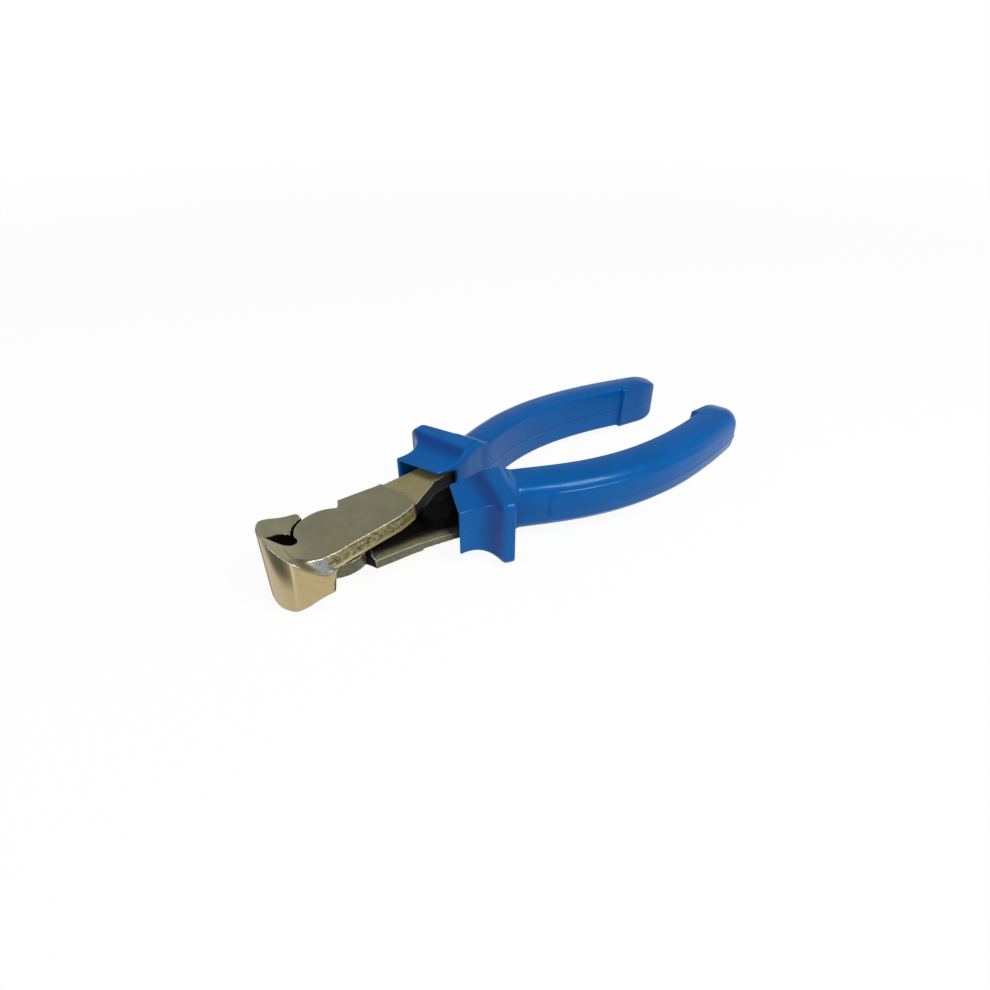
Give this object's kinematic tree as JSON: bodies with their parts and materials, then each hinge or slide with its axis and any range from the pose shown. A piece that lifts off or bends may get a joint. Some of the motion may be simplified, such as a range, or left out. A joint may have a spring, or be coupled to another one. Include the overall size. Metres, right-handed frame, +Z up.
{
  "type": "tile nippers",
  "caption": "Hand nippers for trimming tile: wide hollow-ground end jaws on lapped forged levers that turn on a flush rivet, with moulded grips that have finger guards and thumb lips.",
  "frame": {"origin": "on the surface that the tool lies on, under the middle of its length and width", "axes": "+X from the jaws to the grips along the tool's centre line, +Z up along the pivot, +Y to the far grip"},
  "size_m": [0.168, 0.0612, 0.0232],
  "materials": {
    "forged_steel": "forged sides, ground and lacquered faces",
    "rivet_steel": "ground flush with the joint's faces",
    "grip_plastic": "glossy moulded vinyl"
  },
  "bodies": {
    "lower": {"lower_lever": "forged_steel", "near_grip": "grip_plastic", "pivot_rivet": "rivet_steel"},
    "upper": {"upper_lever": "forged_steel", "far_grip": "grip_plastic"}
  },
  "joints": [
    {"name": "pivot", "type": "hinge", "parent": "lower", "child": "upper", "pos_m": [-0.0646, 0, 0.0116], "axis": [0, 0, 1], "range_deg": [0, 47]}
  ]
}
